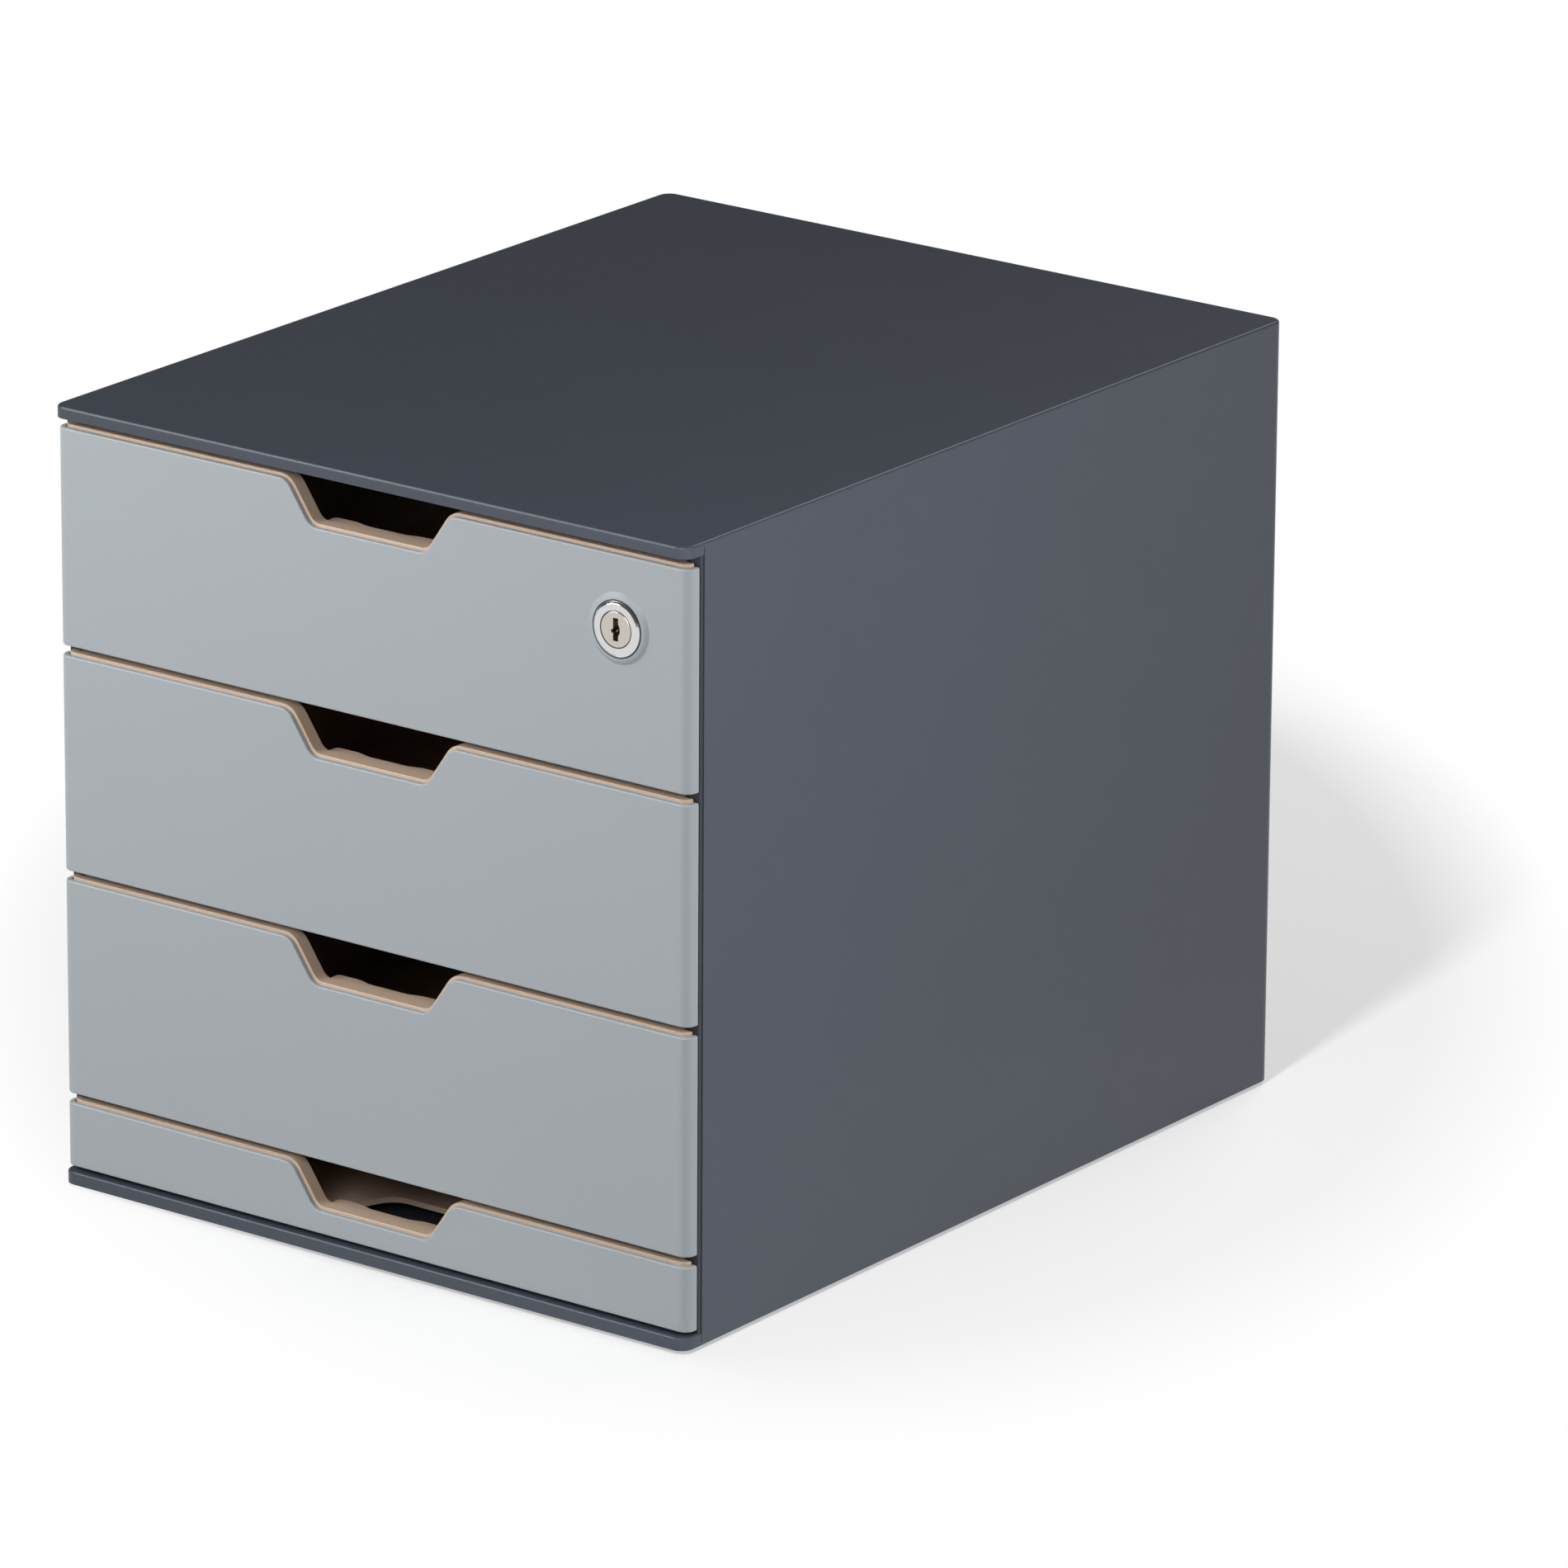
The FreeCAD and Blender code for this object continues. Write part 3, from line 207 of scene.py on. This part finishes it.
def measured(tree, operation, *vectors):
    """The number that an operation makes of one or two vectors."""
    node = tree.nodes.new("ShaderNodeVectorMath")
    node.operation = operation
    for vector, socket in zip(vectors, node.inputs):
        join(tree, vector, socket)
    return node.outputs["Value"]


def own_place(tree):
    """The object's own coordinates."""
    return tree.nodes.new("ShaderNodeTexCoord").outputs["Object"]


def noise(tree, size, detail=2.0):
    """Noise over the object's own coordinates with lumps of a size."""
    texture = tree.nodes.new("ShaderNodeTexNoise")
    texture.inputs["Scale"].default_value = 1 / size
    texture.inputs["Detail"].default_value = detail
    join(tree, own_place(tree), texture.inputs["Vector"])
    return texture.outputs["Fac"]


def mixed_colour(tree, amount, first, second):
    """A mix of two colours, of which the first may be another mix."""
    node = tree.nodes.new("ShaderNodeMix")
    node.data_type = "RGBA"
    if isinstance(first, tuple):
        node.inputs["A"].default_value = first
    else:
        join(tree, first, node.inputs["A"])
    node.inputs["B"].default_value = second
    join(tree, amount, node.inputs["Factor"])
    return node.outputs["Result"]


def bumped(tree, height, depth, below=None):
    """Normal of a relief of a depth, which may lie on another relief."""
    node = tree.nodes.new("ShaderNodeBump")
    node.inputs["Strength"].default_value = 1.0
    node.inputs["Distance"].default_value = depth
    join(tree, height, node.inputs["Height"])
    if below:
        join(tree, below, node.inputs["Normal"])
    return node.outputs["Normal"]


def edges(tree):
    """0 on flat ground, rising to 1 beside a sharp edge."""
    rounded = tree.nodes.new("ShaderNodeBevel")
    rounded.samples = EDGE_SAMPLES
    rounded.inputs["Radius"].default_value = EDGE_WIDTH
    plain = tree.nodes.new("ShaderNodeNewGeometry")
    turn = measured(tree, "DOT_PRODUCT", rounded.outputs["Normal"], plain.outputs["Normal"])
    return scaled(tree, turn, 1.0, 0.0, start=PALE_EDGE_FULL, end=PALE_EDGE_START)


def from_lock_axis(tree, scale=(1, 1, 1)):
    """The object's own coordinates moved so that the lock's axis runs through zero."""
    low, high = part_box("lock_plug")
    middle = (low + high) / 2
    moved = tree.nodes.new("ShaderNodeMapping")
    moved.inputs["Scale"].default_value = scale
    moved.inputs["Location"].default_value = (-middle.x, 0, -middle.z)
    join(tree, own_place(tree), moved.inputs["Vector"])
    return moved.outputs["Vector"]


def lock_radius(tree):
    """Distance from the lock's axis."""
    return measured(tree, "LENGTH", from_lock_axis(tree, scale=(1, 0, 1)))


def half_width(name):
    """Radius of a round piece of the lock."""
    low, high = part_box(name)
    return (high.x - low.x) / 2


# ---------------------------------------------------------------- finishes


def moulded_plastic(name, colour, cloud, roughness, edge_wear_and_highlight=1.18, collar=False):
    """Moulded plastic: fine eroded grain, cloudy colour, uneven gloss, edges smoother from wear and paler
    from wear and a painted highlight.

    On the collar of the lock a dark ring of painted shade lies in the gap round the bezel.
    """
    material, tree, shader = new_finish(name)
    shader.inputs["IOR"].default_value = PLASTIC_IOR
    clouds = noise(tree, CLOUD_SIZE, detail=3.0)
    body = mixed_colour(tree, clouds, shade_of(colour, 1 - cloud), shade_of(colour, 1 + cloud))
    # paler edges: partly wear, partly a painted highlight along the rounded edges
    wear_and_highlight = combined(tree, "MULTIPLY", edges(tree), noise(tree, SCUFF_SIZE, detail=3.0))
    skin = mixed_colour(tree, wear_and_highlight, body, shade_of(colour, edge_wear_and_highlight))
    if collar:
        # painted shade: a dark ring on the drawer's front just outside the bezel's rim
        full, ended = (half_width("lock_housing") + away for away in COLLAR_PAINTED_SHADE)
        painted_shade = scaled(tree, lock_radius(tree), 1, 0, start=full, end=ended)
        skin = mixed_colour(tree, painted_shade, skin, shade_of(colour, PLASTIC_PAINTED_SHADE))
    join(tree, skin, shader.inputs["Base Color"])
    shine = noise(tree, GLOSS_SIZE, detail=4.0)
    gloss = scaled(tree, shine, roughness - GLOSS_SWING, roughness + GLOSS_SWING)
    polish = scaled(tree, wear_and_highlight, 0.0, WORN_POLISH)
    join(tree, combined(tree, "SUBTRACT", gloss, polish), shader.inputs["Roughness"])
    flow = bumped(tree, noise(tree, FLOW_SIZE, detail=1.0), FLOW_DEPTH)
    grain = noise(tree, GRAIN_SIZE, detail=1.0)
    join(tree, bumped(tree, grain, GRAIN_DEPTH, flow), shader.inputs["Normal"])
    return material


def spotted(tree, colour):
    """A metal's colour with slightly darker spots."""
    return mixed_colour(tree, noise(tree, SPOT_SIZE, detail=3.0), shade_of(colour, SPOT_SHADE), colour)


def bezel_chrome(name, colour, roughness):
    """Polished chrome of the lock's bezel, with dark rings of painted shade in the gaps round it and round
    the plug.
    """
    material, tree, shader = new_finish(name, metallic=1.0)
    radius = lock_radius(tree)
    # painted shade: dark rings on the bezel at its rim and round the plug
    foot_full, foot_ended = (half_width("lock_housing") - away for away in FOOT_PAINTED_SHADE)
    mouth_full, mouth_ended = (half_width("lock_plug") + away for away in MOUTH_PAINTED_SHADE)
    foot = scaled(tree, radius, 0, 1, start=foot_ended, end=foot_full)
    mouth = scaled(tree, radius, 1, 0, start=mouth_full, end=mouth_ended)
    painted_shade = combined(tree, "MAXIMUM", foot, mouth)
    painted_shade_colour = mixed_colour(tree, painted_shade, spotted(tree, colour), shade_of(colour, CHROME_PAINTED_SHADE))
    join(tree, painted_shade_colour, shader.inputs["Base Color"])
    join(tree, scaled(tree, painted_shade, roughness, CHROME_PAINTED_SHADE_ROUGHNESS), shader.inputs["Roughness"])
    return material


def plated_metal(name, colour, roughness):
    """Plated or stamped metal with fine marks."""
    material, tree, shader = new_finish(name, metallic=1.0)
    join(tree, spotted(tree, colour), shader.inputs["Base Color"])
    marks = noise(tree, MARK_SIZE)
    join(tree, swung(tree, marks, roughness, MARK_SWING), shader.inputs["Roughness"])
    join(tree, bumped(tree, marks, MARK_DEPTH), shader.inputs["Normal"])
    return material


def turned_metal(name, colour, roughness):
    """Metal faced on a lathe: fine rings about the lock's axis."""
    material, tree, shader = new_finish(name, metallic=1.0)
    rings = tree.nodes.new("ShaderNodeTexWave")
    rings.wave_type = "RINGS"
    rings.rings_direction = "Y"
    rings.inputs["Scale"].default_value = WAVE_PITCH / RING_PITCH
    rings.inputs["Distortion"].default_value = RING_WOBBLE
    rings.inputs["Detail"].default_value = 2.0
    join(tree, from_lock_axis(tree), rings.inputs["Vector"])
    marks = rings.outputs["Fac"]
    join(tree, mixed_colour(tree, marks, shade_of(colour, RING_SHADE), colour), shader.inputs["Base Color"])
    join(tree, swung(tree, marks, roughness, RING_SWING), shader.inputs["Roughness"])
    join(tree, bumped(tree, marks, RING_DEPTH), shader.inputs["Normal"])
    return material


def soft_rubber(name, colour):
    """Dull rubber with dust in its pores."""
    material, tree, shader = new_finish(name)
    shader.inputs["Specular IOR Level"].default_value = RUBBER_SPECULAR
    dust = noise(tree, DUST_SIZE, detail=4.0)
    join(tree, mixed_colour(tree, dust, colour, shade_of(colour, DUST_SHADE)), shader.inputs["Base Color"])
    join(tree, scaled(tree, dust, *RUBBER_ROUGHNESS), shader.inputs["Roughness"])
    join(tree, bumped(tree, dust, DUST_DEPTH), shader.inputs["Normal"])
    return material


# finish of each material slot of the record: how it is made, its sRGB colour and its settings
FINISHES = {
    "anthracite_plastic": (moulded_plastic, (53, 58, 68), {"cloud": 0.05, "roughness": 0.38}),
    "liner_plastic": (moulded_plastic, (40, 43, 50), {"cloud": 0.05, "roughness": 0.5}),
    "grey_plastic": (moulded_plastic, (160, 166, 170),
                     {"cloud": 0.012, "roughness": 0.45, "edge_wear_and_highlight": 1.08, "collar": True}),
    "beige_plastic": (moulded_plastic, (198, 174, 153), {"cloud": 0.02, "roughness": 0.4, "edge_wear_and_highlight": 1.08}),
    "rubber": (soft_rubber, (30, 30, 32), {}),
    "zinc_steel": (plated_metal, (205, 207, 208), {"roughness": 0.32}),
    "black_steel": (plated_metal, (45, 46, 50), {"roughness": 0.4}),
    "chrome": (bezel_chrome, (240, 240, 242), {"roughness": 0.06}),
    "nickel": (turned_metal, (222, 214, 204), {"roughness": 0.26}),
    "brass": (plated_metal, (214, 178, 110), {"roughness": 0.3}),
}


def dress():
    """Give each piece the finish of its material slot."""
    finish = {slot: make(slot, srgb(*colour), **settings)
              for slot, (make, colour, settings) in FINISHES.items()}
    for part in frame["record"]["subparts"]:
        for slot in frame["nodes"][part["node"]].material_slots:
            slot.material = finish[part["material_slot"]]


# ---------------------------------------------------------------- floor, light and camera


def direction(azimuth, elevation):
    """Unit vector towards a place seen from the object: azimuth 0 is in front, 90 on its right."""
    around, up = math.radians(azimuth), math.radians(elevation)
    return Vector((math.sin(around) * math.cos(up), -math.cos(around) * math.cos(up), math.sin(up)))


def object_middle():
    """Middle of the object's box."""
    low, high = Vector(cad_box[0]), Vector(cad_box[1])
    return (low + high) / 2


def seen_by_camera(tree):
    """1 for camera rays."""
    return tree.nodes.new("ShaderNodeLightPath").outputs["Is Camera Ray"]


def seen_directly(tree):
    """1 for camera, glossy and transmission rays, 0 for the rays that light the object."""
    path = tree.nodes.new("ShaderNodeLightPath")
    eye = combined(tree, "MAXIMUM", path.outputs["Is Camera Ray"], path.outputs["Is Glossy Ray"])
    return combined(tree, "MAXIMUM", eye, path.outputs["Is Transmission Ray"])


def far_away(tree):
    """0 near the object, 1 where its shadow has ended."""
    oval = tree.nodes.new("ShaderNodeMapping")
    oval.vector_type = "TEXTURE"
    oval.inputs["Location"].default_value = (*OVAL_MIDDLE, 0)
    oval.inputs["Rotation"].default_value = (0, 0, math.radians(OVAL_TURN))
    oval.inputs["Scale"].default_value = (*OVAL_HALVES, 1)
    join(tree, own_place(tree), oval.inputs["Vector"])
    reach = measured(tree, "LENGTH", oval.outputs["Vector"])
    return scaled(tree, reach, 0, 1, start=FADE_START, end=FADE_END)


def floor_finish():
    """Pale paper that keeps the shadow near the object, and evenly white further off."""
    material, tree, surface = new_material("floor")
    paper = tree.nodes.new("ShaderNodeBsdfDiffuse")
    paper.inputs["Color"].default_value = (FLOOR_COLOUR, FLOOR_COLOUR, FLOOR_COLOUR, 1)
    glow = tree.nodes.new("ShaderNodeEmission")
    join(tree, scaled(tree, seen_directly(tree), 0, FLOOR_GLOW), glow.inputs["Strength"])
    near = tree.nodes.new("ShaderNodeAddShader")
    join(tree, paper.outputs["BSDF"], near.inputs[0])
    join(tree, glow.outputs["Emission"], near.inputs[1])
    white = tree.nodes.new("ShaderNodeEmission")
    mirrored = scaled(tree, seen_directly(tree), FAR_BOUNCE, FAR_MIRRORED)
    join(tree, combined(tree, "MAXIMUM", mirrored, seen_by_camera(tree)), white.inputs["Strength"])
    both = tree.nodes.new("ShaderNodeMixShader")
    join(tree, far_away(tree), both.inputs["Fac"])
    join(tree, near.outputs["Shader"], both.inputs[1])
    join(tree, white.outputs["Emission"], both.inputs[2])
    join(tree, both.outputs["Shader"], surface)
    return material


def floor():
    """The sheet that the object stands on."""
    half = FLOOR_SIZE / 2
    corners = [(-half, -half, 0), (half, -half, 0), (half, half, 0), (-half, half, 0)]
    mesh = bpy.data.meshes.new("floor")
    mesh.from_pydata(corners, [], [(0, 1, 2, 3)])
    mesh.materials.append(floor_finish())
    sheet = bpy.data.objects.new("floor", mesh)
    bpy.context.scene.collection.objects.link(sheet)
    return sheet


def surroundings():
    """Studio with a dim ceiling, brighter at the horizon and white to the camera."""
    world = bpy.data.worlds.new("studio")
    world.use_nodes = True
    bpy.context.scene.world = world
    tree = world.node_tree
    place = tree.nodes.new("ShaderNodeTexCoord")
    parts = tree.nodes.new("ShaderNodeSeparateXYZ")
    join(tree, place.outputs["Generated"], parts.inputs["Vector"])
    low, high = math.sin(math.radians(HORIZON_END)), math.sin(math.radians(CEILING_START))
    fade = scaled(tree, parts.outputs["Z"], HORIZON_LEVEL, CEILING_LEVEL, start=low, end=high)
    background = tree.nodes["Background"]
    join(tree, combined(tree, "MAXIMUM", fade, seen_by_camera(tree)), background.inputs["Strength"])
    background.inputs["Color"].default_value = (1, 1, 1, 1)


def groups_to_light(sheet):
    """Objects that a lamp may be kept to: all pieces, some of them, or the floor's sheet."""
    nodes = frame["nodes"]
    fixed = frame["record"]["behaviour"]["bodies"]["casing"]
    return {
        "object": list(nodes.values()),
        "casing": [node for name, node in nodes.items() if name in fixed],
        "drawers": [node for name, node in nodes.items() if name not in fixed and name != "lock_housing"],
        "plastic": [node for name, node in nodes.items() if name != "lock_housing"],
        "floor": [sheet],
    }


def lamps(sheet):
    """Soft round lamps, most of which light only one group."""
    middle = object_middle()
    groups = groups_to_light(sheet)
    for name, lamp in LAMPS.items():
        light = bpy.data.lights.new(name, "AREA")
        light.shape = "DISK"
        light.size = lamp.size
        # the power at which a white surface at the lamp's distance sends back the level
        light.energy = lamp.level * (math.pi * lamp.distance) ** 2
        holder = bpy.data.objects.new(name, light)
        towards = direction(lamp.azimuth, lamp.elevation)
        holder.location = middle + towards * lamp.distance
        holder.rotation_euler = towards.to_track_quat("Z", "Y").to_euler()
        holder.visible_glossy = lamp.mirrored
        bpy.context.scene.collection.objects.link(holder)
        if lamp.lights in groups:
            lit = bpy.data.collections.new("lit_by_" + name)
            for piece in groups[lamp.lights]:
                lit.objects.link(piece)
            holder.light_linking.receiver_collection = lit


def camera():
    """Camera at the object's three-quarter view, with the object's middle a little off its axis."""
    back = direction(CAMERA_AZIMUTH, CAMERA_ELEVATION)
    right = Vector((0, 0, 1)).cross(back).normalized()
    up = back.cross(right)
    tilt = math.radians(CAMERA_ROLL)
    right, up = right * math.cos(tilt) + up * math.sin(tilt), up * math.cos(tilt) - right * math.sin(tilt)
    aim = object_middle() + right * MIDDLE_LEFT_OF_AXIS - up * MIDDLE_ABOVE_AXIS
    data = bpy.data.cameras.new("camera")
    data.lens = CAMERA_LENS
    data.sensor_width = CAMERA_SENSOR
    data.clip_end = CAMERA_REACH
    holder = bpy.data.objects.new("camera", data)
    turn = Matrix((right, up, back)).transposed().to_4x4()
    holder.matrix_world = Matrix.Translation(aim + back * CAMERA_DISTANCE) @ turn
    bpy.context.scene.collection.objects.link(holder)
    bpy.context.scene.camera = holder


camera()
surroundings()
lamps(floor())
dress()
bpy.context.scene.view_settings.view_transform = "Standard"
